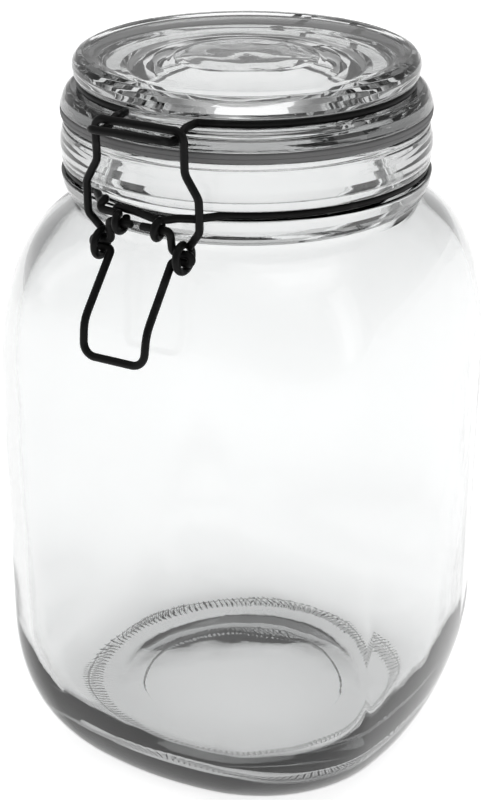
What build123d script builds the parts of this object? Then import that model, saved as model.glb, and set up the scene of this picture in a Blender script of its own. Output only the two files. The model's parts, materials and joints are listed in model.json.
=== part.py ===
from build123d import *
import math
import os

# Square glass storage jar with a clip-top lid, in millimetres.
# The origin is on the jar's axis, on the surface that it stands on. +Z is up.
# The latch is at the front (-Y) and the lid's hinge is at the back (+Y).

os.makedirs("parts", exist_ok=True)

# Jar body: a square with rounded corners that blends into a round foot and a round neck
body_width = 119.2
corner_radius = 30.0
corner_pull = 3.56  # how far the corners are drawn in from a flat-sided square's, which bows the sides
foot_radius = 46.0
wall = 4.0
floor_thickness = 9.0
heel_height = 38.0
straight_height = 71.2
shoulder_height = 52.7
heel_power = 2.1  # 2 makes the heel a quarter ellipse, and more makes it squarer
shoulder_power = 2.37
push_up_radius = 39.0
push_up_height = 4.5
shoulder_end_radius = 37.0  # where the shoulder's curve runs out, inside the neck

# Neck and rim
bore_radius = 41.0
neck_wall = 4.4
bead_width = 3.9  # how far the beads stand out of the neck
collar_rise = 8.3  # from the foot of the neck to the neck wire
rim_rise = 13.0  # from the neck wire to the top of the rim
rim_land = 4.0
rim_inner_round = 1.5
rim_outer_set_in = 1.1
rim_outer_drop = 2.4
bead_edge = 0.6  # the lower bead's upright edge under the neck wire
upper_bead_set_in = 0.4
upper_bead_bulge = 0.1
neck_curve_out = 0.72  # share of the bead's width that the neck's curve has at its middle
neck_curve_rise = 0.36  # share of the neck's height there
neck_root_depth = 5.0  # how far the neck reaches down into the shoulder
neck_root_width = 2.0
bore_run_out = 12.0  # how far the bore is cut below the foot of the neck

# Seal and lid
gasket_thickness = 2.8
gasket_overlap = 1.2  # how far the seal reaches into the mouth
gasket_set_in = 0.3  # seal's edge to the bead's edge
seal_gap = 0.1  # unsqueezed seal to rim
lid_height = 13.4  # from the seal to the top of the lid
lid_wire_rise = 5.8  # from the seal to the lid wire
lid_waist = 3.5  # how far the lid's edge is set in from the seal's edge
plug_depth = 5.3
plug_gap = 0.3  # plug to seal
plug_taper = 1.4
plug_chamfer = 1.0
plug_foot_set_in = 2.6
plug_land = 4.0
recess_radius = 29.0
recess_height = 6.8
recess_lip = 3.0
recess_taper = 2.0
recess_dome = 9.0  # how far in from the plug's bore the recess's flat roof starts
lid_top_land = 3.5  # from the lid's edge in to its flat top
lid_top_edge = 1.2
lid_top_round = 0.7
lid_bulge_drop = 3.0
lid_edge_step = 0.5
flange_step = 0.6  # the flange stands this far out of the lid's edge under the wire
flange_bulge_set_in = 0.9
flange_bulge_rise = 0.48  # share of the height from the seal to the lid wire
flange_lip = 0.2
gasket_round = 0.6

# Wire and its running fits
wire_radius = 1.0
groove_gap = 0.1  # wire to the walls of its groove
pin_gap = 0.15  # wire pin to the eye that it turns in
bar_gap = 0.4  # loop bar to the hook's legs
eye_gap = 0.2  # lever's hairpin to the loop's eye
clear_gap = 1.4  # wires to the glass beads that they pass

# Latch, measured across the front face (half widths) and down from its pivot
hook_half_width = 9.9
hook_reach = 6.8  # from the loop bar out to the hook bar
hook_dip = 1.7  # how far the hook's legs dip under the loop bar
hook_lift = 0.1  # hook bar above the lid wire
pivot_drop = 2.8  # neck wire down to the lever's pivot
loop_half_width = 12.5
loop_wide_half_width = 16.0
loop_lean = 0.2  # how far the loop's bar stands out from its pivot
loop_eye_half_spacing = 12.0
eye_half_spacing = 5.6
right_pin_tip = 0.8
left_pin_tip = 2.3
lever_half_width = 8.8
lever_foot_half_width = 8.7
hairpin_reach = 5.4
crank_drop = 6.6  # from the lever's pivot down to the loop's pivot
crank_set_in = 0.9
lever_knee_drop = 22.4
knee_inset = 47.5  # the lever's knee stands out from the axis by this much less than the body
lever_drop = 30.9
foot_inset = 46.2

# Hinge
hinge_half_width = 14.0
hinge_eye_half_spacing = 9.0
hinge_gap = 0.35  # hinge eyes to the glass behind them
lead_spread = 19.0  # where the neck wire leaves its groove in front
hump_spread = 19.0  # where it leaves its groove behind
wire_bend = 3.0
small_bend = 1.2
turn_back_bend = 0.9  # where the left lead doubles back
hook_bend = 2.0
tail_bend = 2.5
knee_bend = 8.0
foot_bend = 3.4
loop_bend = 4.0
loop_top_bend = 2.4
loop_foot_bend = 1.6

# Sizes that follow from those above
half_width = body_width / 2
corner_reach = (half_width - corner_radius) * math.sqrt(2) + corner_radius - corner_pull
shoulder_start = heel_height + straight_height
neck_base = shoulder_start + shoulder_height
collar_height = neck_base + collar_rise
rim_top = collar_height + rim_rise
gasket_bottom = rim_top + seal_gap
lid_seat = gasket_bottom + gasket_thickness
lid_wire_height = lid_seat + lid_wire_rise
lid_top = lid_seat + lid_height

lever_knee_out = half_width - knee_inset
lever_out = half_width - foot_inset
neck_radius = bore_radius + neck_wall
bead_radius = neck_radius + bead_width
groove_half_height = wire_radius + groove_gap
groove_depth = 1.9 * wire_radius  # from the glass beside a groove in to the wire's centre line
collar_radius = bead_radius - groove_depth
gasket_radius = bead_radius - gasket_set_in
gasket_bore = bore_radius - gasket_overlap
lid_edge_radius = gasket_radius - lid_waist
lid_wire_radius = lid_edge_radius - groove_depth
plug_radius = gasket_bore - plug_gap

pin_eye_radius = 2 * wire_radius + pin_gap  # centre line of an eye round one wire
hairpin_half_gap = 1.1 * wire_radius
hairpin_bend = 1.09 * wire_radius
loop_eye_radius = hairpin_half_gap + 2 * wire_radius + eye_gap

hinge_y = bead_radius + clear_gap / 2 + pin_eye_radius + wire_radius + hinge_gap
lever_pivot = (-(bead_radius + clear_gap + pin_eye_radius + wire_radius), collar_height - pivot_drop)
loop_pivot = (lever_pivot[0] + crank_set_in, lever_pivot[1] - crank_drop)
loop_bar_y = loop_pivot[0] - loop_lean
hook_leg_height = lid_wire_height - hook_dip
loop_bar_height = hook_leg_height + 2 * wire_radius + bar_gap

# The corner arcs of every body section turn through the same angle, so a section is fixed by
# its half width and its corner reach, and it becomes a circle when the two are equal.
corner_centre = (corner_reach - corner_radius) / math.sqrt(2)
flat_span = half_width - corner_radius
side_centre = (2 * corner_centre**2 - flat_span**2) / (2 * (corner_centre - flat_span))
corner_angle = math.atan2(corner_centre, corner_centre - side_centre)


def body_section(half, reach, height):
    # One section of the body: four flat side arcs joined by four corner arcs
    centre = (reach - half) / (math.sqrt(2) - 1 - math.tan(corner_angle / 2))
    radius = reach - centre * math.sqrt(2)
    along = centre + radius * math.cos(corner_angle)
    across = centre + radius * math.sin(corner_angle)
    arcs = []
    with BuildLine():
        for turn in range(4):
            spin = Rot(0, 0, 90 * turn)
            side = [spin * Pos(*spot) for spot in ((along, -across), (half, 0), (along, across))]
            bow = reach / math.sqrt(2)
            corner = [spin * Pos(*spot) for spot in ((along, across), (bow, bow), (across, along))]
            arcs.append(ThreePointArc(*[place.position for place in side]))
            arcs.append(ThreePointArc(*[place.position for place in corner]))
    return Pos(0, 0, height) * Face(Wire(arcs))


def blend_steps(power, steps):
    # Pairs (height, width) along a quarter of a superellipse, from its foot to its full width
    pairs = []
    for step in range(steps + 1):
        angle = math.pi / 2 * step / steps
        pairs.append((1 - math.cos(angle) ** (2 / power), math.sin(angle) ** (2 / power)))
    return pairs


def body_form(inset, floor, foot, top, end, mode):
    # The body's outside, or its hollow: heel, straight sides and shoulder
    side = half_width - inset
    reach = corner_reach - inset
    heel = []
    for height, width in blend_steps(heel_power, 6):
        rise = floor + (heel_height - floor) * height
        heel.append(body_section(foot + (side - foot) * width, foot + (reach - foot) * width, rise))
    shoulder = []
    for height, width in reversed(blend_steps(shoulder_power, 6)):
        rise = top - (top - shoulder_start) * height
        shoulder.append(body_section(end + (side - end) * width, end + (reach - end) * width, rise))
    loft(heel, mode=mode)
    extrude(heel[-1], amount=straight_height, dir=(0, 0, 1), mode=mode)
    loft(shoulder, mode=mode)


def lay_wire(points, bend):
    # A run of round wire along straight stretches joined by bends
    with BuildLine() as route:
        FilletPolyline(*points, radius=bend)
    sweep_wire(route)


def sweep_wire(route):
    # Round wire along a line that is already drawn
    with BuildSketch(Plane(origin=route.line @ 0, z_dir=route.line % 0)) as section:
        Circle(wire_radius)
    sweep(section.sketch, path=route.wire())


def add_eye(x, centre, radius):
    # A wire eye round an axis that lies along X
    top_of_eye = Plane(origin=(x, centre[0], centre[1] + radius), x_dir=(1, 0, 0), z_dir=(0, 1, 0))
    with BuildSketch(top_of_eye) as section:
        Circle(wire_radius)
    revolve(section.sketch, axis=Axis((x, centre[0], centre[1]), (1, 0, 0)))


def both_sides(points):
    # A path given from its right end to the middle, carried on to its left end
    return points + [(-x, y, z) for x, y, z in reversed(points)]


# Glass jar
dome_radius = (push_up_radius**2 + push_up_height**2) / (2 * push_up_height)
dome_angle = math.degrees(math.asin(push_up_radius / dome_radius))

with BuildPart() as glass_jar:
    body_form(0, 0, foot_radius, neck_base, shoulder_end_radius, Mode.ADD)
    with BuildSketch(Plane.XZ):
        with BuildLine():
            root = neck_base - neck_root_depth
            lower_edge = collar_height - groove_half_height
            upper_edge = collar_height + groove_half_height
            groove_floor = collar_radius - wire_radius - groove_gap
            rim_start = bore_radius + rim_inner_round
            rim_round_middle = rim_inner_round * (1 - math.sqrt(0.5))
            rim_outside = (bead_radius - rim_outer_set_in, rim_top - rim_outer_drop)
            Polyline(
                (bore_radius - neck_root_width, root),
                (neck_radius, root),
                (neck_radius, neck_base),
            )
            ThreePointArc(
                (neck_radius, neck_base),
                (
                    neck_radius + neck_curve_out * bead_width,
                    neck_base + neck_curve_rise * collar_rise,
                ),
                (bead_radius, lower_edge - bead_edge),
            )
            Polyline(
                (bead_radius, lower_edge - bead_edge),
                (bead_radius, lower_edge),
                (groove_floor, lower_edge),
                (groove_floor, upper_edge),
                (bead_radius - upper_bead_set_in, upper_edge),
            )
            ThreePointArc(
                (bead_radius - upper_bead_set_in, upper_edge),
                (bead_radius + upper_bead_bulge, (upper_edge + rim_outside[1]) / 2),
                rim_outside,
            )
            TangentArc((rim_start + rim_land, rim_top), rim_outside, tangent=(1, 0))
            Line((rim_start + rim_land, rim_top), (rim_start, rim_top))
            ThreePointArc(
                (rim_start, rim_top),
                (bore_radius + rim_round_middle, rim_top - rim_round_middle),
                (bore_radius, rim_top - rim_inner_round),
            )
            Polyline(
                (bore_radius, rim_top - rim_inner_round),
                (bore_radius, neck_base),
                (bore_radius - neck_root_width, root),
            )
        make_face()
    revolve(axis=Axis.Z)
    body_form(
        wall,
        floor_thickness,
        foot_radius - wall,
        neck_base - wall,
        shoulder_end_radius - wall,
        Mode.SUBTRACT,
    )
    with BuildSketch(Plane.XY.offset(rim_top)):
        Circle(bore_radius)
    extrude(amount=-(rim_top - neck_base + bore_run_out), mode=Mode.SUBTRACT)
    with BuildSketch(Plane.XZ):
        with BuildLine():
            CenterArc((0, push_up_height - dome_radius), dome_radius, 90 - dome_angle, dome_angle)
            Polyline((0, push_up_height), (0, 0), (push_up_radius, 0))
        make_face()
    revolve(axis=Axis.Z, mode=Mode.SUBTRACT)
glass_jar.part.label = "glass_jar"
export_step(glass_jar.part, "parts/glass_jar.step")

# Glass lid
with BuildPart() as glass_lid:
    with BuildSketch(Plane.XZ):
        with BuildLine():
            plug_bottom = lid_seat - plug_depth
            lower_edge = lid_wire_height - groove_half_height
            upper_edge = lid_wire_height + groove_half_height
            groove_floor = lid_wire_radius - wire_radius - groove_gap
            Polyline(
                (0, lid_top),
                (lid_edge_radius - lid_top_land, lid_top),
                (lid_edge_radius - lid_top_edge, lid_top - lid_top_round),
            )
            ThreePointArc(
                (lid_edge_radius - lid_top_edge, lid_top - lid_top_round),
                (lid_edge_radius, lid_top - lid_bulge_drop),
                (lid_edge_radius - lid_edge_step, upper_edge),
            )
            Polyline(
                (lid_edge_radius - lid_edge_step, upper_edge),
                (groove_floor, upper_edge),
                (groove_floor, lower_edge),
                (lid_edge_radius + flange_step, lower_edge),
            )
            ThreePointArc(
                (lid_edge_radius + flange_step, lower_edge),
                (gasket_radius - flange_bulge_set_in, lid_seat + flange_bulge_rise * lid_wire_rise),
                (gasket_radius, lid_seat + flange_lip),
            )
            Polyline(
                (gasket_radius, lid_seat + flange_lip),
                (gasket_radius, lid_seat),
                (plug_radius, lid_seat),
                (plug_radius - plug_taper, plug_bottom + plug_chamfer),
                (plug_radius - plug_foot_set_in, plug_bottom),
                (recess_radius + plug_land, plug_bottom),
                (recess_radius, plug_bottom + recess_lip),
                (recess_radius - recess_taper, lid_seat),
                (recess_radius - recess_dome, lid_seat + recess_height),
                (0, lid_seat + recess_height),
                (0, lid_top),
            )
        make_face()
    revolve(axis=Axis.Z)
glass_lid.part.label = "glass_lid"
export_step(glass_lid.part, "parts/glass_lid.step")

# Seal ring, held on the lid's flat seat
with BuildPart() as gasket:
    with BuildSketch(Plane.XY.offset(gasket_bottom)):
        Circle(gasket_radius)
        Circle(gasket_bore, mode=Mode.SUBTRACT)
    extrude(amount=gasket_thickness)
    fillet(gasket.edges().group_by(Axis.Z)[0].sort_by(SortBy.LENGTH)[-1], gasket_round)
gasket.part.label = "gasket"
export_step(gasket.part, "parts/gasket.step")

# Neck wire: round the neck in its groove, out to the hinge bar behind and to two eyes in front
front_y = -math.sqrt(collar_radius**2 - lead_spread**2)
back_y = math.sqrt(collar_radius**2 - hump_spread**2)
lead_angle = math.degrees(math.asin(lead_spread / collar_radius))
hump_angle = math.degrees(math.asin(hump_spread / collar_radius))
lead_out = (13.6, -(bead_radius + wire_radius / 2))  # where a lead passes the glass
eye_top = lever_pivot[1] + pin_eye_radius
eye_back = lever_pivot[0] + 0.4 * wire_radius

# Where the two leads go on from their grooves, and the end that crosses from eye to eye
right_lead = [
    (lead_out[0], lead_out[1], collar_height),
    (9.6, lever_pivot[0] + 2.4, collar_height),
    (eye_half_spacing + 1.4, lever_pivot[0] + 1.0, eye_top + 0.2),
    (eye_half_spacing, eye_back, eye_top),
]
left_lead = [
    (-lead_out[0], lead_out[1], collar_height),
    (-9.9, lever_pivot[0] + 2.2, collar_height + 2.7),
    (-13.4, lever_pivot[0] + 1.4, collar_height - 0.8),
    (-(eye_half_spacing + 2.4), lever_pivot[0] + 0.6, eye_top),
    (-eye_half_spacing, eye_back, eye_top),
]
crossing_end = [
    (eye_half_spacing - 0.3, lever_pivot[0] - 0.2, eye_top + 0.15),
    (eye_half_spacing - 3.0, lever_pivot[0] + 0.6, eye_top + 0.5),
    (-2.2, lever_pivot[0] + 1.9, collar_height + 0.3),
    (-8.4, lever_pivot[0] + 2.3, collar_height + 0.6),
]

with BuildPart() as neck_wire:
    with BuildLine(Plane.XY.offset(collar_height)) as collar:
        Polyline(lead_out, (lead_spread, front_y))
        CenterArc((0, 0), collar_radius, lead_angle - 90, 180 - lead_angle - hump_angle)
        Polyline(
            (hump_spread, back_y),
            (hinge_half_width, hinge_y),
            (-hinge_half_width, hinge_y),
            (-hump_spread, back_y),
        )
        CenterArc((0, 0), collar_radius, 90 + hump_angle, 180 - lead_angle - hump_angle)
        Polyline((-lead_spread, front_y), (-lead_out[0], lead_out[1]))
        fillet(collar.vertices().sort_by(Axis.Y)[2:], wire_bend)
    sweep_wire(collar)
    lay_wire(right_lead, small_bend)
    lay_wire(left_lead, turn_back_bend)
    lay_wire(crossing_end, small_bend)
    for side in (1, -1):
        add_eye(side * eye_half_spacing, lever_pivot, pin_eye_radius)
neck_wire.part.label = "neck_wire"
export_step(neck_wire.part, "parts/neck_wire.step")

# Lid wire: round the lid in its groove, with the latch's hook in front and hinge eyes behind
nose_y = -math.sqrt(lid_wire_radius**2 - hook_half_width**2)
tail_y = math.sqrt(lid_wire_radius**2 - hinge_eye_half_spacing**2)
nose_angle = math.degrees(math.asin(hook_half_width / lid_wire_radius))
tail_angle = math.degrees(math.asin(hinge_eye_half_spacing / lid_wire_radius))
nose_end_y = -(gasket_radius - groove_half_height)
tail_end_y = gasket_radius - groove_half_height
tail_y_down = hinge_y - pin_eye_radius

with BuildPart() as lid_wire:
    for side in (1, -1):
        with BuildLine(Plane.XY.offset(lid_wire_height)) as ring:
            Line((side * hook_half_width, nose_end_y), (side * hook_half_width, nose_y))
            ThreePointArc(
                (side * hook_half_width, nose_y),
                (side * lid_wire_radius, 0),
                (side * hinge_eye_half_spacing, tail_y),
            )
            Line((side * hinge_eye_half_spacing, tail_y), (side * hinge_eye_half_spacing, tail_end_y))
            fillet(ring.vertices().sort_by(Axis.Y)[1:3], wire_bend)
        sweep_wire(ring)
        lay_wire(
            [
                (side * hinge_eye_half_spacing, tail_end_y, lid_wire_height),
                (side * hinge_eye_half_spacing, tail_y_down, lid_wire_height),
                (side * hinge_eye_half_spacing, tail_y_down, collar_height),
            ],
            tail_bend,
        )
        add_eye(side * hinge_eye_half_spacing, (hinge_y, collar_height), pin_eye_radius)
    lay_wire(
        both_sides(
            [
                (hook_half_width, nose_end_y, lid_wire_height),
                (hook_half_width, loop_bar_y + 1.4, hook_leg_height),
                (hook_half_width, loop_bar_y - 2.0, hook_leg_height),
                (hook_half_width, loop_bar_y - hook_reach, lid_wire_height + hook_lift),
            ]
        ),
        hook_bend,
    )
lid_wire.part.label = "lid_wire"
export_step(lid_wire.part, "parts/lid_wire.step")

# Lever: two pins in the neck wire's eyes, two hairpins for the loop, and a long grip
hairpin_x = lever_half_width + hairpin_reach
lever_path = [
    (lever_half_width, lever_pivot[0], lever_pivot[1]),
    (lever_half_width, loop_pivot[0], loop_pivot[1] + hairpin_half_gap),
    (hairpin_x, loop_pivot[0], loop_pivot[1] + hairpin_half_gap),
    (hairpin_x, loop_pivot[0], loop_pivot[1] - hairpin_half_gap),
    (lever_half_width, loop_pivot[0], loop_pivot[1] - hairpin_half_gap),
    (lever_half_width + 0.2, lever_pivot[0] - lever_knee_out, lever_pivot[1] - lever_knee_drop),
    (lever_foot_half_width, lever_pivot[0] - lever_out, lever_pivot[1] - lever_drop),
]
lever_bends = [small_bend, small_bend, hairpin_bend, hairpin_bend, small_bend, knee_bend, foot_bend]

with BuildPart() as latch_lever:
    lay_wire(
        [(right_pin_tip, *lever_pivot)] + both_sides(lever_path) + [(-left_pin_tip, *lever_pivot)],
        lever_bends + lever_bends[::-1],
    )
latch_lever.part.label = "latch_lever"
export_step(latch_lever.part, "parts/latch_lever.step")

# Loop: a bar over the hook's legs, legs that spread below it, and an eye on each hairpin
loop_path = [
    (loop_eye_half_spacing, loop_pivot[0] + 2.2, loop_pivot[1] + loop_eye_radius - 0.9),
    (loop_wide_half_width, loop_pivot[0] + 0.9, loop_pivot[1] + 7.0),
    (loop_wide_half_width, loop_pivot[0] + 0.7, loop_pivot[1] + 15.3),
    (loop_half_width - 0.1, loop_pivot[0] + 0.3, loop_pivot[1] + 21.3),
    (loop_half_width, loop_bar_y, loop_bar_height),
]
loop_bends = [loop_foot_bend, loop_bend, loop_bend, loop_top_bend]

with BuildPart() as latch_loop:
    lay_wire(both_sides(loop_path), loop_bends + loop_bends[::-1])
    for side in (1, -1):
        add_eye(side * loop_eye_half_spacing, loop_pivot, loop_eye_radius)
latch_loop.part.label = "latch_loop"
export_step(latch_loop.part, "parts/latch_loop.step")
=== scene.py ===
import json
import math

import bpy
import numpy as np
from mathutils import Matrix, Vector, noise


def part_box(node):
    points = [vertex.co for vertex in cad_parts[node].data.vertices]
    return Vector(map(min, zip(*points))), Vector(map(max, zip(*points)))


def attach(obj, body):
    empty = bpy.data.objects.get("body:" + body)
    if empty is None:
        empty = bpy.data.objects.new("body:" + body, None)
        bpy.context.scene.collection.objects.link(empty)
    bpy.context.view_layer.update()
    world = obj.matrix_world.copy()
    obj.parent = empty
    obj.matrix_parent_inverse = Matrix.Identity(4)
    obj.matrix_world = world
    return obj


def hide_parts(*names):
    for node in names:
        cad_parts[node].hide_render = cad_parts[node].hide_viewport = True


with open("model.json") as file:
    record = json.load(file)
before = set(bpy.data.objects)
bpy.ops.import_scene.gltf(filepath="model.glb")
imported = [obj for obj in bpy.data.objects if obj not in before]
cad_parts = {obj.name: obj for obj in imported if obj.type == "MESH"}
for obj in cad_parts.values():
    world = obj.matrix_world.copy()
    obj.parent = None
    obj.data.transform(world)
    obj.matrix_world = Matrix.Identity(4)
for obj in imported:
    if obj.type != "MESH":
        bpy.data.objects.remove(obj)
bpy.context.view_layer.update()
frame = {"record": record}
print("frame loaded")

# Places that every piece is measured from, in millimetres
joints = {row["name"]: row for row in frame["record"]["behaviour"]["joints"]}


def jointPlace(name):
    place = joints[name]["pos_m"]
    return place[1] * 1000, place[2] * 1000  # how far forward or back, and how high


def boxTop(node):
    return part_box(node)[1].z * 1000


hingeY, collarHeight = jointPlace("lid_hinge")
leverY, leverZ = jointPlace("lever_pivot")
loopY, loopZ = jointPlace("loop_pivot")
rimTop = boxTop("glass_jar")
lidSeat = boxTop("gasket")
lidTop = boxTop("glass_lid")


# Camera, at the height of a person looking down at a kitchen worktop
lens = {
    "place": (0.2302, -0.4144, 0.3187),
    "turn": 29.2,  # degrees round from straight in front
    "tilt": 24.884,  # degrees down
    "length": 83.30,
    "sensor": 36.0,
}

cameraData = bpy.data.cameras.new("camera")
cameraData.lens = lens["length"]
cameraData.sensor_width = lens["sensor"]
cameraData.clip_start = 0.01
camera = bpy.data.objects.new("camera", cameraData)
camera.location = lens["place"]
camera.rotation_euler = (math.radians(90 - lens["tilt"]), 0, math.radians(lens["turn"]))
bpy.context.scene.collection.objects.link(camera)
bpy.context.scene.camera = camera
print("camera set")


# Materials: a socket that does maths, and a sheet of nodes that makes them
class Tap:
    # One output socket. Sums with it add Math nodes.
    def __init__(self, finish, socket):
        self.finish = finish
        self.socket = socket

    def sum(self, operation, first, second):
        return self.finish.add("ShaderNodeMath", {"operation": operation}, {0: first, 1: second})["Value"]

    def __add__(self, other):
        return self.sum("ADD", self, other)

    def __radd__(self, other):
        return self.sum("ADD", other, self)

    def __sub__(self, other):
        return self.sum("SUBTRACT", self, other)

    def __rsub__(self, other):
        return self.sum("SUBTRACT", other, self)

    def __mul__(self, other):
        return self.sum("MULTIPLY", self, other)

    def __rmul__(self, other):
        return self.sum("MULTIPLY", other, self)

    def __pow__(self, other):
        return self.sum("POWER", self, other)

    def __rpow__(self, other):
        return self.sum("POWER", other, self)


class Node:
    def __init__(self, finish, node):
        self.finish = finish
        self.node = node

    def __getitem__(self, name):
        return Tap(self.finish, self.node.outputs[name])


class Finish:
    # A material, or the world, with its own sheet of nodes
    def __init__(self, owner):
        self.owner = owner
        owner.use_nodes = True
        self.sheet = owner.node_tree
        self.sheet.nodes.clear()

    def add(self, kind, settings=None, inputs=None):
        node = self.sheet.nodes.new(kind)
        for name, value in (settings or {}).items():
            if name == "stops":
                ramp = node.color_ramp
                while len(ramp.elements) < len(value):
                    ramp.elements.new(0.5)
                for element, (place, shade) in zip(ramp.elements, value):
                    element.position = place
                    element.color = (*shade, 1)
            else:
                setattr(node, name, value)
        for name, value in (inputs or {}).items():
            if isinstance(value, Tap):
                self.sheet.links.new(value.socket, node.inputs[name])
            else:
                node.inputs[name].default_value = value
        return Node(self, node)

    def mixColour(self, share, first, second):
        mixed = self.add("ShaderNodeMix", {"data_type": "RGBA"}, {"Factor": share, 6: first, 7: second})
        return Tap(self, mixed.node.outputs[2])

    def places(self, stretch=(1, 1, 1)):
        # Places on the object in metres, stretched
        here = self.add("ShaderNodeTexCoord")["Object"]
        scaled = self.add("ShaderNodeVectorMath", {"operation": "MULTIPLY"}, {0: here, 1: stretch})
        return scaled["Vector"]

    def mottle(self, scale, detail=3.0, rough=0.5, warp=0.0, at=None):
        inputs = {"Scale": scale, "Detail": detail, "Roughness": rough, "Distortion": warp}
        inputs["Vector"] = at or self.places()
        return self.add("ShaderNodeTexNoise", None, inputs)["Fac"]

    def bump(self, height, depth, over=None):
        # Relief of a depth in metres, laid over other relief if there is any
        inputs = {"Height": height, "Distance": depth, "Strength": 1.0}
        if over:
            inputs["Normal"] = over
        return self.add("ShaderNodeBump", None, inputs)["Normal"]

    def fade(self, value, start, end):
        # 0 up to the start and 1 from the end on
        inputs = {"Value": value, "From Min": start, "From Max": end}
        return self.add("ShaderNodeMapRange", {"interpolation_type": "SMOOTHSTEP"}, inputs)["Result"]

    def finishWith(self, shader, volume=None):
        output = self.add("ShaderNodeOutputMaterial", None, {"Surface": shader})
        if volume:
            self.sheet.links.new(volume.socket, output.node.inputs["Volume"])
        return self.owner


def newFinish(name):
    return Finish(bpy.data.materials.new(name))


pressedGlass = {
    "tint": (0.985, 0.99, 0.99, 1),
    # painted shade: the dark grey painted onto the ridged ring underneath
    "dust": (0.10, 0.10, 0.10, 1),
    "index": 1.5,
    "soak": (0.80, 0.802, 0.802, 1),  # what the glass lets through, at the densities below
    "orangePeel": 0.000006,
    "haze": 0.05,
}

# The slow ripple that pressing leaves, its depth in metres
jarLook = {"ripple": 0.00016, "scale": 22.0, "warp": 0.6, "density": 160.0}
lidLook = {"ripple": 0.000088, "scale": 26.0, "warp": 0.9, "density": 55.0}

# The ridged ring underneath, in metres
knurl = {"inner": 0.0440, "outer": 0.0486, "top": 0.0016, "ridges": 160, "edge": 0.0008}


def knurlPaintedShade(glass):
    # Painted shade: the ridged ring underneath is painted darker in its hollows and along its outline,
    # standing in for the dark lines that refraction draws there
    split = glass.add("ShaderNodeSeparateXYZ", None, {"Vector": glass.add("ShaderNodeTexCoord")["Object"]})
    x, y, z = split["X"], split["Y"], split["Z"]
    reach = (x * x + y * y) ** 0.5
    turn = glass.add("ShaderNodeMath", {"operation": "ARCTAN2"}, {0: y, 1: x})["Value"]
    wave = glass.add("ShaderNodeMath", {"operation": "SINE"}, {0: turn * knurl["ridges"]})["Value"]
    low = glass.fade(z, knurl["top"], knurl["top"] * 0.6)
    band = glass.fade(reach, knurl["inner"], knurl["inner"] + knurl["edge"])
    band = band * glass.fade(reach, knurl["outer"], knurl["outer"] - knurl["edge"])
    line = glass.fade(reach, knurl["outer"] - 0.0002, knurl["outer"] + 0.0003)
    line = line * glass.fade(reach, knurl["outer"] + 0.0012, knurl["outer"] + 0.0006)
    patches = glass.mottle(38.0, 3.0, 0.6)
    # Painted shade, strongest in the ridges' hollows and along the ring's outline, made patchy
    dust = low * (band * (wave * 0.36 + 0.46) + line) * (patches * 0.9 + 0.45)
    return glass.mixColour(dust, pressedGlass["tint"], pressedGlass["dust"])


def makeGlass(name, look, ringed):
    glass = newFinish(name)
    slow = glass.mottle(look["scale"], 2.0, 0.45, look["warp"])
    stretched = glass.mottle(look["scale"] * 1.6, 3.0, 0.5, 0.4, glass.places((1, 1, 0.35)))
    fine = glass.mottle(420.0, 2.0)
    wavy = glass.bump(slow * 0.65 + stretched * 0.35, look["ripple"])
    haze = glass.mottle(55.0, 4.0, 0.6)
    shader = glass.add("ShaderNodeBsdfPrincipled", None, {
        # On the jar, Base Color carries the painted shade of the ridged ring
        "Base Color": knurlPaintedShade(glass) if ringed else pressedGlass["tint"],
        "Roughness": haze ** 3 * pressedGlass["haze"],
        "IOR": pressedGlass["index"],
        "Transmission Weight": 1.0,
        "Normal": glass.bump(fine, pressedGlass["orangePeel"], wavy),
    })["BSDF"]
    soak = glass.add("ShaderNodeVolumeAbsorption", None, {
        "Color": pressedGlass["soak"],
        "Density": look["density"],
    })["Volume"]
    return glass.finishWith(shader, soak)


blackPaint = {
    "colour": (0.003, 0.003, 0.003, 1),
    "rubbed": (0.010, 0.010, 0.010, 1),
    "roughness": 0.34,
    "gloss": 0.12,
    "relief": 0.00006,
}


def makeWirePaint():
    paint = newFinish("blackWirePaint")
    grain = paint.mottle(900.0, 4.0, 0.6)
    patches = paint.mottle(160.0, 3.0, 0.55)
    drawn = paint.mottle(240.0, 2.0, 0.5, 0.3, paint.places((1, 1, 0.2)))
    rubbed = paint.add("ShaderNodeMapRange", None, {
        "Value": patches, "From Min": 0.60, "From Max": 0.72, "To Min": 0.0, "To Max": 1.0,
    })["Result"]
    shader = paint.add("ShaderNodeBsdfPrincipled", None, {
        "Base Color": paint.mixColour(rubbed, blackPaint["colour"], blackPaint["rubbed"]),
        "Roughness": blackPaint["roughness"] + grain * 0.16 - rubbed * 0.08,
        "Specular IOR Level": blackPaint["gloss"],
        "Normal": paint.bump(grain * 0.6 + drawn * 0.4, blackPaint["relief"]),
    })["BSDF"]
    return paint.finishWith(shader)


greyRubber = {
    "colour": (0.085, 0.085, 0.086, 1),
    "bloom": (0.14, 0.14, 0.141, 1),
    "roughness": 0.55,
    "gloss": 0.4,
    "relief": 0.00004,
}


def makeRubber():
    rubber = newFinish("sealRubber")
    grain = rubber.mottle(1400.0, 3.0, 0.6)
    bloom = rubber.mottle(45.0, 4.0, 0.6)
    shader = rubber.add("ShaderNodeBsdfPrincipled", None, {
        "Base Color": rubber.mixColour(bloom, greyRubber["colour"], greyRubber["bloom"]),
        "Roughness": greyRubber["roughness"] + grain * 0.2,
        "Specular IOR Level": greyRubber["gloss"],
        "Normal": rubber.bump(grain, greyRubber["relief"]),
    })["BSDF"]
    return rubber.finishWith(shader)


jarGlass = makeGlass("jarGlass", jarLook, True)
lidGlass = makeGlass("lidGlass", lidLook, False)
wirePaint = makeWirePaint()
sealRubber = makeRubber()
print("materials made")


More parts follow.
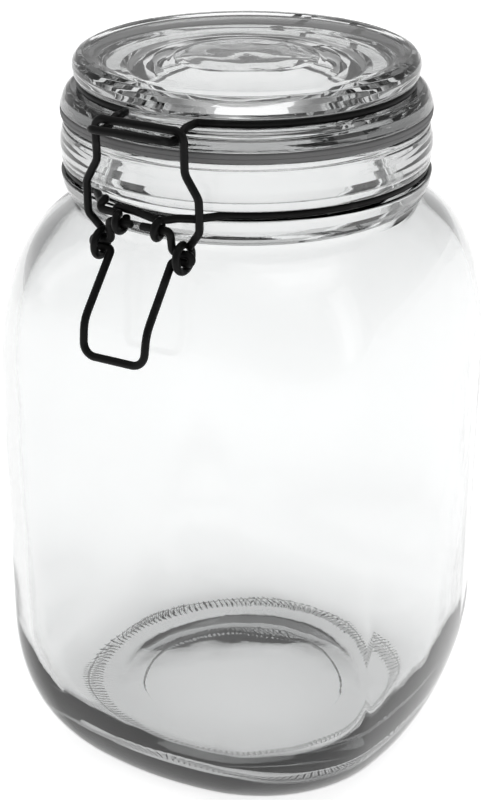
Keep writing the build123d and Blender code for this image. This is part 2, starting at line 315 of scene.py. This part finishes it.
# Meshes
def rounded(points, bends, step=8.0, longest=2.0):
    # A path of straight runs joined by arcs, with points every few degrees and every few millimetres
    points = [np.array(spot, float) for spot in points]
    if not isinstance(bends, (list, tuple)):
        bends = [bends] * (len(points) - 2)
    path = [points[0]]
    for before, corner, after, bend in zip(points, points[1:], points[2:], bends):
        back = (before - corner) / np.linalg.norm(before - corner)
        ahead = (after - corner) / np.linalg.norm(after - corner)
        turn = math.pi - math.acos(max(-1.0, min(1.0, float(back @ ahead))))
        if turn < 0.02 or bend <= 0:
            path.append(corner)
            continue
        room = 0.49 * min(np.linalg.norm(before - corner), np.linalg.norm(after - corner))
        cut = min(bend * math.tan(turn / 2), room)
        radius = cut / math.tan(turn / 2)
        middle = (back + ahead) / np.linalg.norm(back + ahead)
        centre = corner + middle * radius / math.cos(turn / 2)
        first = (corner + back * cut - centre) / radius
        last = (corner + ahead * cut - centre) / radius
        steps = max(2, math.ceil(math.degrees(turn) / step))
        for index in range(steps + 1):
            share = turn * index / steps
            spot = (math.sin(turn - share) * first + math.sin(share) * last) / math.sin(turn)
            path.append(centre + radius * spot)
    path.append(points[-1])
    filled = [path[0]]
    for spot in path[1:]:
        gap = spot - filled[-1]
        size = np.linalg.norm(gap)
        if size < 1e-4:
            continue
        pieces = max(1, math.ceil(size / longest))
        start = filled[-1]
        filled += [start + gap * index / pieces for index in range(1, pieces + 1)]
    return filled


def makePiece(name, rings, body, node, material, poles=(None, None), loop=False):
    # A skin over rings of points given in millimetres, closed round, with a point at either end
    rings = np.array(rings, float)
    rows, columns = rings.shape[:2]
    spots = rings.reshape(-1, 3)
    faces = []
    index = np.arange(rows * columns).reshape(rows, columns)
    spans = rows if loop else rows - 1
    for row in range(spans):
        lower, upper = index[row], index[(row + 1) % rows]
        faces.append(np.stack([lower, np.roll(lower, -1), np.roll(upper, -1), upper], 1))
    faces = np.concatenate(faces).tolist()
    for pole, row, flip in ((poles[0], 0, True), (poles[1], rows - 1, False)):
        if pole is not None:
            spots = np.vstack([spots, pole])
            tip = len(spots) - 1
            ring = index[row].tolist()
            for here, there in zip(ring, ring[1:] + ring[:1]):
                faces.append([there, here, tip] if flip else [here, there, tip])
    mesh = bpy.data.meshes.new(name)
    mesh.from_pydata((spots * 0.001).tolist(), [], faces)
    mesh.validate()
    mesh.materials.append(material)
    mesh.polygons.foreach_set("use_smooth", [True] * len(mesh.polygons))
    piece = bpy.data.objects.new(name, mesh)
    bpy.context.scene.collection.objects.link(piece)
    fixNormals(mesh)
    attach(piece, body)
    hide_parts(node)
    print(name, "made")


def fixNormals(mesh):
    # Faces outwards: a closed skin with a negative volume is turned inside out
    corners = np.zeros(len(mesh.vertices) * 3)
    mesh.vertices.foreach_get("co", corners)
    corners = corners.reshape(-1, 3)
    mesh.calc_loop_triangles()
    triangles = np.zeros(len(mesh.loop_triangles) * 3, np.int32)
    mesh.loop_triangles.foreach_get("vertices", triangles)
    a, b, c = (corners[triangles.reshape(-1, 3)[:, side]] for side in range(3))
    if np.einsum("ij,ij->i", a, np.cross(b, c)).sum() < 0:
        mesh.flip_normals()


def wobble(spot, scale, seed):
    return noise.noise(Vector(spot) * scale + Vector((seed, seed * 1.7, seed * 0.6)))


# Jar
jar = {
    "halfWidth": 59.59,
    "cornerRadius": 30.0,
    "cornerReach": 68.3,
    "footRadius": 46.0,
    "wall": 4.0,
    "floor": 9.0,
    "heelHeight": 38.0,
    "shoulderStart": 109.2,
    "neckBase": 161.9,
    "heelPower": 2.1,
    "shoulderPower": 2.37,
    "shoulderEnd": 37.0,
    "neckRadius": 45.4,
    "boreRadius": 41.0,
    "pushUpRadius": 39.0,
    "pushUpHeight": 4.5,
    "stepRadius": 30.0,  # a mark that the mould's insert leaves underneath
    "stepHeight": 0.35,
    "ridges": knurl["ridges"],
    "ridgeHeight": 0.7,
    "ridgeInner": 43.6,
    "ridgeOuter": 51.0,
    "ridgeTop": 3.0,
    "columns": 640,
    "heelLevels": 26,
    "sideLevels": 10,
    "shoulderLevels": 40,
    "wireCircle": 47.4,
    "grooveRadius": 1.13,
    "wave": 0.16,  # slow waves inside, from pressing
    "waveTop": 160.0,
    "floorWave": 0.35,
    "floorWaveTop": 14.0,
}

cornerCentre = (jar["cornerReach"] - jar["cornerRadius"]) / math.sqrt(2)
flatSpan = jar["halfWidth"] - jar["cornerRadius"]
sideCentre = (2 * cornerCentre ** 2 - flatSpan ** 2) / (2 * (cornerCentre - flatSpan))
cornerAngle = math.atan2(cornerCentre, cornerCentre - sideCentre)
columnAngles = np.arange(jar["columns"]) * 2 * math.pi / jar["columns"]


def bodyRing(half, reach, height):
    # One level of the body: four nearly flat sides joined by four corner arcs
    centre = (reach - half) / (math.sqrt(2) - 1 - math.tan(cornerAngle / 2))
    radius = reach - centre * math.sqrt(2)
    sideRadius = (centre + radius * math.sin(cornerAngle)) / math.sin(cornerAngle)
    quarter = np.round(columnAngles / (math.pi / 2))
    local = columnAngles - quarter * math.pi / 2
    isSide = np.abs(local) <= cornerAngle
    sign = np.sign(local)
    x = np.where(isSide, half - sideRadius + sideRadius * np.cos(local), centre + radius * np.cos(local))
    y = np.where(isSide, sideRadius * np.sin(local), sign * centre + radius * np.sin(local))
    turn = quarter * math.pi / 2
    ring = np.stack([x * np.cos(turn) - y * np.sin(turn), x * np.sin(turn) + y * np.cos(turn)], 1)
    return np.column_stack([ring, np.full(jar["columns"], height)])


def roundRing(radius, height, columns=None):
    angles = columnAngles if columns is None else np.arange(columns) * 2 * math.pi / columns
    return np.column_stack([radius * np.cos(angles), radius * np.sin(angles), np.full(len(angles), height)])


def notBelow(ring, radius, softness):
    # Pushes a level out to a radius, with a soft change from one to the other
    reach = np.hypot(ring[:, 0], ring[:, 1])
    gap = reach - radius
    pushed = radius + (gap + np.sqrt(gap ** 2 + softness ** 2)) / 2
    ring = ring.copy()
    ring[:, :2] *= (pushed / reach)[:, None]
    return ring


def blendSteps(power, steps):
    # Height and width along a quarter of a superellipse, both from 0 to 1
    angles = [math.pi / 2 * step / steps for step in range(steps + 1)]
    return [(1 - max(math.cos(angle), 0) ** (2 / power), math.sin(angle) ** (2 / power)) for angle in angles]


def bodyRings(inset, floor, foot, top, end, stopRadius):
    # Levels from the foot, up the heel and the sides, and in over the shoulder
    side = jar["halfWidth"] - inset
    reach = jar["cornerReach"] - inset
    rings = []
    for height, width in blendSteps(jar["heelPower"], jar["heelLevels"]):
        rise = floor + (jar["heelHeight"] - floor) * height
        rings.append(bodyRing(foot + (side - foot) * width, foot + (reach - foot) * width + 1e-4, rise))
    for share in np.linspace(0, 1, jar["sideLevels"] + 1)[1:]:
        rise = jar["heelHeight"] + (jar["shoulderStart"] - jar["heelHeight"]) * share
        rings.append(bodyRing(side, reach, rise))
    for height, width in list(reversed(blendSteps(jar["shoulderPower"], jar["shoulderLevels"])))[1:]:
        rise = top - (top - jar["shoulderStart"]) * height
        half = end + (side - end) * width
        corner = end + (reach - end) * width
        if corner < stopRadius:
            break
        rings.append(notBelow(bodyRing(half, corner, rise), stopRadius, 1.0))
    return rings


def dome(radius):
    # Height of the pushed-up underside
    ball = (jar["pushUpRadius"] ** 2 + jar["pushUpHeight"] ** 2) / (2 * jar["pushUpHeight"])
    return jar["pushUpHeight"] - (ball - math.sqrt(ball ** 2 - radius ** 2))


underside = []
domeRadii = [0.5, 2, 4, 7, 10, 13, 16, 19, 22, 25, 27, 28.5]
stepRadii = [29.4, 29.8, 30.1, 30.4, 30.9]
for radius in domeRadii + stepRadii + [32, 34, 36, 37, 38]:
    lift = dome(radius)
    if radius < jar["stepRadius"]:
        lift += jar["stepHeight"]
    underside.append(roundRing(radius, lift))
underside += [roundRing(38.7, 0.12), roundRing(39.4, 0.02)]
underside += [roundRing(radius, 0.0) for radius in (40.5, 42, 43.5, 44.2, 45.0)]

outside = underside + bodyRings(
    0, 0, jar["footRadius"], jar["neckBase"], jar["shoulderEnd"], jar["neckRadius"]
)

# The ridged ring that the jar stands on
ridge = 0.5 - 0.5 * np.cos(columnAngles * jar["ridges"])
for ring in outside:
    reach = np.hypot(ring[:, 0], ring[:, 1])
    share = np.clip((reach - jar["ridgeInner"]) / 1.0, 0, 1)
    share = share * np.clip((jar["ridgeOuter"] - reach) / 1.4, 0, 1)
    lowEnough = np.clip((jar["ridgeTop"] - ring[:, 2]) / 1.5, 0, 1)
    ring[:, 2] += ridge * share * lowEnough * jar["ridgeHeight"]


def above(level, points):
    return [(radius, level + rise) for radius, rise in points]


def groove(circle, level, start, end, step):
    # The round groove that a wire lies in, from one angle to another
    return [
        (
            circle + jar["grooveRadius"] * math.cos(math.radians(angle)),
            level + jar["grooveRadius"] * math.sin(math.radians(angle)),
        )
        for angle in range(start, end, step)
    ]


lowerBead = [(45.45, -8.9), (45.6, -8.3), (47.0, -7.8), (47.6, -7.1), (47.95, -6.2), (48.55, -5.1)]
lowerBead += [(49.0, -3.8), (49.15, -2.7), (49.25, -2.0), (49.2, -1.4), (48.6, -1.15)]
upperBead = [(48.5, 1.15), (48.85, 1.3), (48.95, 2.0), (49.0, 3.0), (48.92, 3.2), (48.92, 3.4), (49.1, 3.6)]
upperBead += [(49.3, 5.9), (49.06, 8.1), (48.75, 9.2), (48.45, 10.6), (48.1, 11.0), (48.08, 11.3)]
rimOutside = [(48.45, -1.4), (48.4, -0.7), (47.9, -0.2), (47.0, -0.02)]
rimInside = [(43.0, -0.02), (42.0, -0.2), (41.3, -0.7), (41.0, -1.6)]
bore = [(41.0, 1.8), (41.0, -8.2), (41.0, -11.2)]
neckProfile = rounded(
    above(collarHeight, lowerBead)
    + groove(jar["wireCircle"], collarHeight, 275, 80, -15)
    + above(collarHeight, upperBead)
    + above(rimTop, rimOutside + rimInside)
    + above(collarHeight, bore),
    0.5, 15.0, 1.2,
)
neck = [roundRing(radius, height) for radius, height in neckProfile]

inside = bodyRings(
    jar["wall"],
    jar["floor"],
    jar["footRadius"] - jar["wall"],
    jar["neckBase"] - jar["wall"],
    jar["shoulderEnd"] - jar["wall"],
    jar["boreRadius"],
)
floorRings = [roundRing(radius, jar["floor"]) for radius in np.linspace(0.5, 41.0, 22)]
inside = floorRings + inside
for ring in inside:
    for spot in ring:
        height = spot[2]
        slow = wobble((spot[0], spot[1], height * 0.7), 0.045, 3.0) + 0.4 * wobble(spot, 0.12, 9.0)
        reach = math.hypot(spot[0], spot[1])
        if height < jar["waveTop"]:
            spot[:2] *= 1 + jar["wave"] * slow / max(reach, 20.0)
        if height < jar["floorWaveTop"]:
            spot[2] += jar["floorWave"] * slow

jarRings = outside + neck + inside[::-1]
makePiece(
    "jarBody", jarRings, "jar", "glass_jar", jarGlass,
    poles=((0, 0, jar["pushUpHeight"] + jar["stepHeight"]), (0, 0, float(inside[0][:, 2].mean()))),
)


# Lid
lid = {
    "columns": 384,
    "wireCircle": 43.6,
    "wireRise": 5.8,
    "topDip": 0.55,  # how far the middle of the top lies below its edge
    "recess": 6.9,  # from the seat up to the middle of the underside
    "unevenRise": 7.0,
    "unevenRadius": 38.0,
    "unevenness": 0.14,
}
lidWireHeight = lidSeat + lid["wireRise"]

lidSurface = [(0.4, -lid["topDip"]), (14.0, -0.5), (20.0, -0.42), (30.0, -0.36), (39.5, -0.3)]
lidSurface += [(41.0, -0.05), (42.6, -0.02), (44.2, -0.6), (45.2, -1.8), (45.5, -3.0), (45.3, -4.8)]
lidFlange = [(47.2, 3.8), (47.9, 2.8), (48.35, 1.8), (48.7, 0.8), (48.9, 0.35), (48.8, 0.02), (39.6, 0.02)]
lidPlug = [(39.3, -0.9), (38.1, -4.1), (37.0, -5.2), (33.0, -5.25)]
lidRecess = [(31.0, -4.7), (29.0, -2.3), (27.0, 0.1), (24.5, 2.5), (21.0, 4.9), (19.0, 6.4)]
lidRecess += [(17.0, 6.8), (8.0, 6.85), (0.4, lid["recess"])]
lidProfile = rounded(
    above(lidTop, lidSurface)
    + above(lidWireHeight, [(44.9, 1.6), (44.6, 1.2)])
    + groove(lid["wireCircle"], lidWireHeight, 80, 281, 15)
    + above(lidWireHeight, [(44.6, -1.2), (46.1, -1.25)])
    + above(lidSeat, lidFlange + lidPlug + lidRecess),
    1.2, 12.0, 1.2,
)
lidRings = []
for radius, height in lidProfile:
    ring = roundRing(radius, height, lid["columns"])
    if height < lidSeat + lid["unevenRise"] and radius < lid["unevenRadius"]:
        for spot in ring:  # the underside is less even than the top
            spot[2] += lid["unevenness"] * wobble(spot, 0.10, 5.0)
    lidRings.append(ring)
makePiece(
    "lidDisc", lidRings, "lid", "glass_lid", lidGlass,
    poles=((0, 0, lidTop - lid["topDip"]), (0, 0, lidSeat + lid["recess"])),
)


# Seal ring
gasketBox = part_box("gasket")
seal = {"bottom": gasketBox[0].z * 1000, "outer": gasketBox[1].x * 1000, "inner": 39.85, "columns": 320}
sealInner = [(seal["inner"], seal["bottom"] + 0.3), (seal["inner"], lidSeat - 0.3)]
sealTop = [(seal["inner"] + 0.3, lidSeat - 0.02), (seal["outer"] - 0.5, lidSeat - 0.02)]
sealTop += [(seal["outer"] - 0.08, lidSeat - 0.45)]
sealEdge = [(-0.02, 1.5), (-0.18, 1.4), (-0.02, 1.3), (-0.12, 0.5), (-0.6, 0.02)]  # with a moulded line
sealProfile = rounded(
    sealInner
    + sealTop
    + [(seal["outer"] + out, seal["bottom"] + rise) for out, rise in sealEdge]
    + [(seal["inner"] + 0.3, seal["bottom"] + 0.02), sealInner[0]],
    0.25, 20.0, 2.5,
)
makePiece(
    "sealRing", [roundRing(radius, height, seal["columns"]) for radius, height in sealProfile[:-1]],
    "lid", "gasket", sealRubber, loop=True,
)


# Wires
wire = {"radius": 1.0, "coat": 1.03, "unevenness": 0.012, "sides": 20, "dome": 0.55}


def wireRings(path, seed):
    # A round wire along a path, with domed ends and the slight unevenness of coated wire
    path = np.array(path, float)
    dome = wire["radius"] * wire["dome"]
    ahead = np.gradient(path, axis=0)
    ahead /= np.linalg.norm(ahead, axis=1)[:, None]
    up = np.array([0.0, 0.0, 1.0])
    if abs(ahead[0] @ up) > 0.9:
        up = np.array([0.0, 1.0, 0.0])
    across = np.cross(ahead[0], up)
    angles = np.arange(wire["sides"]) * 2 * math.pi / wire["sides"]
    rings = []
    for place, heading in zip(path, ahead):
        across = across - heading * (across @ heading)
        across /= np.linalg.norm(across)
        other = np.cross(heading, across)
        size = wire["radius"] * (wire["coat"] + wire["unevenness"] * wobble(place, 0.9, seed))
        rings.append(place + size * (np.cos(angles)[:, None] * across + np.sin(angles)[:, None] * other))
    ends = []
    for row, outward in ((0, -ahead[0]), (-1, ahead[-1])):
        ends.append([
            path[row] + (rings[row] - path[row]) * math.cos(lean) + outward * dome * math.sin(lean)
            for lean in (1.2, 0.8, 0.4)
        ])
    rings = ends[0] + rings + ends[1][::-1]
    return rings, (path[0] - ahead[0] * dome, path[-1] + ahead[-1] * dome)


def makeWire(name, body, node, path, seed):
    rings, poles = wireRings(path, seed)
    makePiece(name, rings, body, node, wirePaint, poles)


def ringArc(radius, height, start, end, step=2.0):
    # Part of a circle round the jar, in degrees anticlockwise from the right-hand side
    count = max(2, math.ceil(abs(end - start) / step))
    angles = np.radians(np.linspace(start, end, count + 1))
    return [(radius * math.cos(angle), radius * math.sin(angle), height) for angle in angles]


def eyeTurn(x, centre, radius, start, sweep, drift, step=9.0):
    # A turn of wire round a pivot that lies from side to side. Angles are from the back, upwards.
    count = math.ceil(abs(sweep) / step)
    turn = []
    for index in range(count + 1):
        share = index / count
        angle = math.radians(start + sweep * share)
        y, z = centre[0] + radius * math.cos(angle), centre[1] + radius * math.sin(angle)
        turn.append((x + drift * share, y, z))
    return turn


def joinRuns(*runs):
    # Runs end to end, as one list of places
    path = []
    for run in runs:
        for spot in run:
            spot = np.array(spot, float)
            if not path or np.linalg.norm(path[-1] - spot) > 0.15:
                path.append(spot)
    return path


def bothSides(points):
    return points + [(-x, y, z) for x, y, z in reversed(points)]


pinEye = 2.15
loopEye = 3.3
hairpinGap = 1.1

# Neck wire: round its groove, the hinge bar behind, and two eyes in front
neckWire = {
    "radius": jar["wireCircle"],
    "lead": 19.0,
    "hump": 19.0,
    "hingeHalf": 14.0,
    "leadOut": 13.6,
    "leadOutY": -49.8,
    "eyeSpacing": 5.6,
}
leadAngle = math.degrees(math.asin(neckWire["lead"] / neckWire["radius"]))
humpAngle = math.degrees(math.asin(neckWire["hump"] / neckWire["radius"]))
backY = math.sqrt(neckWire["radius"] ** 2 - neckWire["hump"] ** 2)
frontY = -math.sqrt(neckWire["radius"] ** 2 - neckWire["lead"] ** 2)
eyeTop = leverZ + pinEye

rightArc = ringArc(neckWire["radius"], collarHeight, leadAngle - 90 + 3, 90 - humpAngle - 3)
leftArc = ringArc(neckWire["radius"], collarHeight, 90 + humpAngle + 3, 270 - leadAngle - 3)
rightLead = [
    rightArc[0],
    (neckWire["lead"], frontY, collarHeight),
    (neckWire["leadOut"], neckWire["leadOutY"], collarHeight),
    (9.6, leverY + 2.4, collarHeight),
    (neckWire["eyeSpacing"] + 1.4, leverY + 1.2, eyeTop + 0.2),
    (neckWire["eyeSpacing"], leverY + 0.2, eyeTop + 0.05),
]
leftLead = [
    leftArc[-1],
    (-neckWire["lead"], frontY, collarHeight),
    (-neckWire["leadOut"], neckWire["leadOutY"], collarHeight),
    (-9.9, leverY + 2.2, collarHeight + 2.7),
    (-13.4, leverY + 1.4, collarHeight - 0.8),
    (-(neckWire["eyeSpacing"] + 2.4), leverY + 0.6, eyeTop),
    (-(neckWire["eyeSpacing"] + 0.3), leverY + 0.2, eyeTop + 0.02),
]
hingeBar = [
    rightArc[-1],
    (neckWire["hump"], backY, collarHeight),
    (neckWire["hingeHalf"], hingeY, collarHeight),
    (-neckWire["hingeHalf"], hingeY, collarHeight),
    (-neckWire["hump"], backY, collarHeight),
    leftArc[0],
]
rightEye = eyeTurn(neckWire["eyeSpacing"] + 0.2, (leverY, leverZ), pinEye, 82, 345, -0.9)
leftEye = eyeTurn(-(neckWire["eyeSpacing"] + 0.2), (leverY, leverZ), pinEye, 82, 300, 0.8)
crossing = rounded([
    rightEye[-1],
    (neckWire["eyeSpacing"] - 2.0, leverY + 0.9, eyeTop + 0.1),
    (-2.2, leverY + 1.9, collarHeight),
    (-8.4, leverY + 2.5, collarHeight + 0.2),
    (-7.5, leverY + 2.3, collarHeight - 2.1),
], 1.2)
neckWirePath = joinRuns(
    crossing[::-1],
    rightEye[::-1],
    rounded(rightLead[::-1], 2.2),
    rightArc,
    rounded(hingeBar, 3.0),
    leftArc,
    rounded(leftLead, [3.0, 2.2, 1.1, 1.1, 1.0]),
    leftEye,
)
makeWire("neckWire", "jar", "neck_wire", neckWirePath, 11.0)

# Lid wire: round the lid's groove, the hook in front, and the hinge eyes behind
lidWire = {
    "radius": lid["wireCircle"],
    "hookHalf": 9.9,
    "tailHalf": 9.0,
    "dip": 1.7,
    "reach": 6.8,
    "lift": 0.1,
}
noseY = -math.sqrt(lidWire["radius"] ** 2 - lidWire["hookHalf"] ** 2)
tailY = math.sqrt(lidWire["radius"] ** 2 - lidWire["tailHalf"] ** 2)
noseAngle = math.degrees(math.asin(lidWire["hookHalf"] / lidWire["radius"]))
tailAngle = math.degrees(math.asin(lidWire["tailHalf"] / lidWire["radius"]))
loopBarY = loopY - 0.2
legHeight = lidWireHeight - lidWire["dip"]
tailDownY = hingeY - pinEye


def lidSide(side):
    # Half of the lid wire, from the middle of its hook to the end of one hinge eye
    front = ringArc(lidWire["radius"], lidWireHeight, noseAngle - 90 + 4, 90 - tailAngle - 4)
    nose = [
        (0, loopBarY - lidWire["reach"], lidWireHeight + lidWire["lift"]),
        (lidWire["hookHalf"], loopBarY - lidWire["reach"], lidWireHeight + lidWire["lift"]),
        (lidWire["hookHalf"], loopBarY - 2.0, legHeight),
        (lidWire["hookHalf"], loopBarY + 1.4, legHeight),
        (lidWire["hookHalf"], -47.8, lidWireHeight),
        (lidWire["hookHalf"], noseY, lidWireHeight),
        front[0],
    ]
    tail = [
        front[-1],
        (lidWire["tailHalf"], tailY, lidWireHeight),
        (lidWire["tailHalf"], tailDownY, lidWireHeight),
        (lidWire["tailHalf"], tailDownY, collarHeight + 0.3),
    ]
    eye = eyeTurn(lidWire["tailHalf"], (hingeY, collarHeight), pinEye, 180, 300, 0.8)
    half = joinRuns(rounded(nose, [2.0, 2.0, 2.0, 1.5, 3.0]), front, rounded(tail, [3.0, 2.5]), eye)
    return [np.array((side * x, y, z)) for x, y, z in half]


makeWire("lidWire", "lid", "lid_wire", joinRuns(lidSide(-1)[::-1], lidSide(1)), 23.0)

# Lever: pins, cranks with a hairpin each for the loop, and the long grip
lever = {
    "half": 8.8,
    "foot": 8.7,
    "hairpin": 14.2,
    "kneeDrop": 22.4,
    "kneeOut": 12.1,
    "drop": 30.9,
    "out": 13.34,
    "rightPin": 0.8,
    "leftPin": -2.3,
}
leverSide = [
    (lever["half"], leverY, leverZ),
    (lever["half"], loopY, loopZ + hairpinGap),
    (lever["hairpin"], loopY, loopZ + hairpinGap),
    (lever["hairpin"], loopY, loopZ - hairpinGap),
    (lever["half"], loopY, loopZ - hairpinGap),
    (lever["half"] + 0.2, leverY - lever["kneeOut"], leverZ - lever["kneeDrop"]),
    (lever["foot"], leverY - lever["out"], leverZ - lever["drop"]),
]
leverBends = [1.2, 1.2, 1.09, 1.09, 1.2, 8.0, 3.4]
leverPins = [(lever[pin], leverY, leverZ) for pin in ("rightPin", "leftPin")]
leverPath = leverPins[:1] + bothSides(leverSide) + leverPins[1:]
leverRun = joinRuns(rounded(leverPath, leverBends + leverBends[::-1], 12.0))
makeWire("latchLever", "lever", "latch_lever", leverRun, 31.0)

# Loop: a bar over the hook, waisted legs, and an eye on each hairpin
loop = {"barRise": 2.4, "barHalf": 12.5, "waist": 12.4, "hips": 16.0}
loopBarZ = legHeight + loop["barRise"]
loopSide = [
    (0, loopBarY, loopBarZ),
    (loop["barHalf"], loopBarY, loopBarZ),
    (loop["waist"], loopY + 0.3, loopZ + 21.3),
    (loop["hips"], loopY + 0.7, loopZ + 15.3),
    (loop["hips"], loopY + 0.9, loopZ + 7.0),
]


def loopHalf(side):
    eye = eyeTurn(loop["waist"], (loopY, loopZ), loopEye, 60, -345, -0.9)
    leg = rounded(loopSide + [(12.9, loopY + 2.0, loopZ + 3.1), eye[1]], [2.4, 4.0, 4.0, 3.0, 1.0])
    half = joinRuns(leg[:-1], eye[1:])
    return [np.array((side * x, y, z)) for x, y, z in half]


makeWire("latchLoop", "loop", "latch_loop", joinRuns(loopHalf(-1)[::-1], loopHalf(1)), 47.0)


# Floor, world and lights
room = {
    "floorSize": 40.0,
    "floorSquares": 16,
    "floorGlow": 0.72,  # the paper is lit from below as well
    "sky": [(0.0, 1.45), (0.50, 1.5), (0.56, 1.0), (0.72, 0.55), (0.82, 0.5), (0.92, 1.1), (1.0, 1.3)],
    "skyStrength": 0.62,
    "skyWhitest": 1.5,
    "lamps": {
        "overhead": ((0.1, 0.2, 1.3), (1.2, 0.9), 2.4),
        "leftPanel": ((-1.0, -0.5, 0.7), (0.5, 0.9), 1.2),
        "rightPanel": ((1.1, 0.1, 0.6), (0.4, 0.9), 1.0),
    },
}
floorMesh = bpy.data.meshes.new("floor")
count = room["floorSquares"]
lines = [room["floorSize"] * (index - count / 2) / (count / 2) for index in range(count + 1)]
grid = [(x, y, -0.0004) for y in lines for x in lines]
corners = [row * (count + 1) + column for row in range(count) for column in range(count)]
squares = [(here, here + 1, here + count + 2, here + count + 1) for here in corners]
floorMesh.from_pydata(grid, [], squares)
floorPaper = newFinish("paleFloor")
fibre = floorPaper.mottle(500.0, 4.0, 0.6)
floorShader = floorPaper.add("ShaderNodeBsdfPrincipled", None, {
    "Base Color": floorPaper.mixColour(fibre, (0.90, 0.90, 0.90, 1), (0.93, 0.93, 0.93, 1)),
    "Roughness": 0.9,
    "Specular IOR Level": 0.1,
    "Emission Color": (1.0, 1.0, 1.0, 1),
    "Emission Strength": room["floorGlow"],
    "Normal": floorPaper.bump(fibre, 0.00002),
})["BSDF"]
floorMesh.materials.append(floorPaper.finishWith(floorShader))
floor = bpy.data.objects.new("floor", floorMesh)
bpy.context.scene.collection.objects.link(floor)

sky = bpy.data.worlds.new("sky")
bpy.context.scene.world = sky
air = Finish(sky)
heading = air.add("ShaderNodeTexCoord")["Generated"]
rise = air.add("ShaderNodeSeparateXYZ", None, {"Vector": heading})["Z"]
shades = [(place, (shade / room["skyWhitest"],) * 3) for place, shade in room["sky"]]
gradient = air.add("ShaderNodeValToRGB", {"stops": shades}, {"Fac": rise * 0.5 + 0.5})["Color"]
skyPower = room["skyWhitest"] * room["skyStrength"]
glow = air.add("ShaderNodeBackground", None, {"Color": gradient, "Strength": skyPower})
air.add("ShaderNodeOutputWorld", None, {"Surface": glow["Background"]})


def softLight(name, place, size, power):
    # A rectangular lamp turned towards the middle of the jar
    data = bpy.data.lights.new(name, "AREA")
    data.shape = "RECTANGLE"
    data.size, data.size_y = size
    data.energy = power
    lamp = bpy.data.objects.new(name, data)
    lamp.location = place
    lamp.rotation_euler = (Vector((0, 0, 0.1)) - Vector(place)).to_track_quat("-Z", "Y").to_euler()
    bpy.context.scene.collection.objects.link(lamp)


for name, (place, size, power) in room["lamps"].items():
    softLight(name, place, size, power)

bpy.context.scene.view_settings.view_transform = "Standard"
print("room lit")
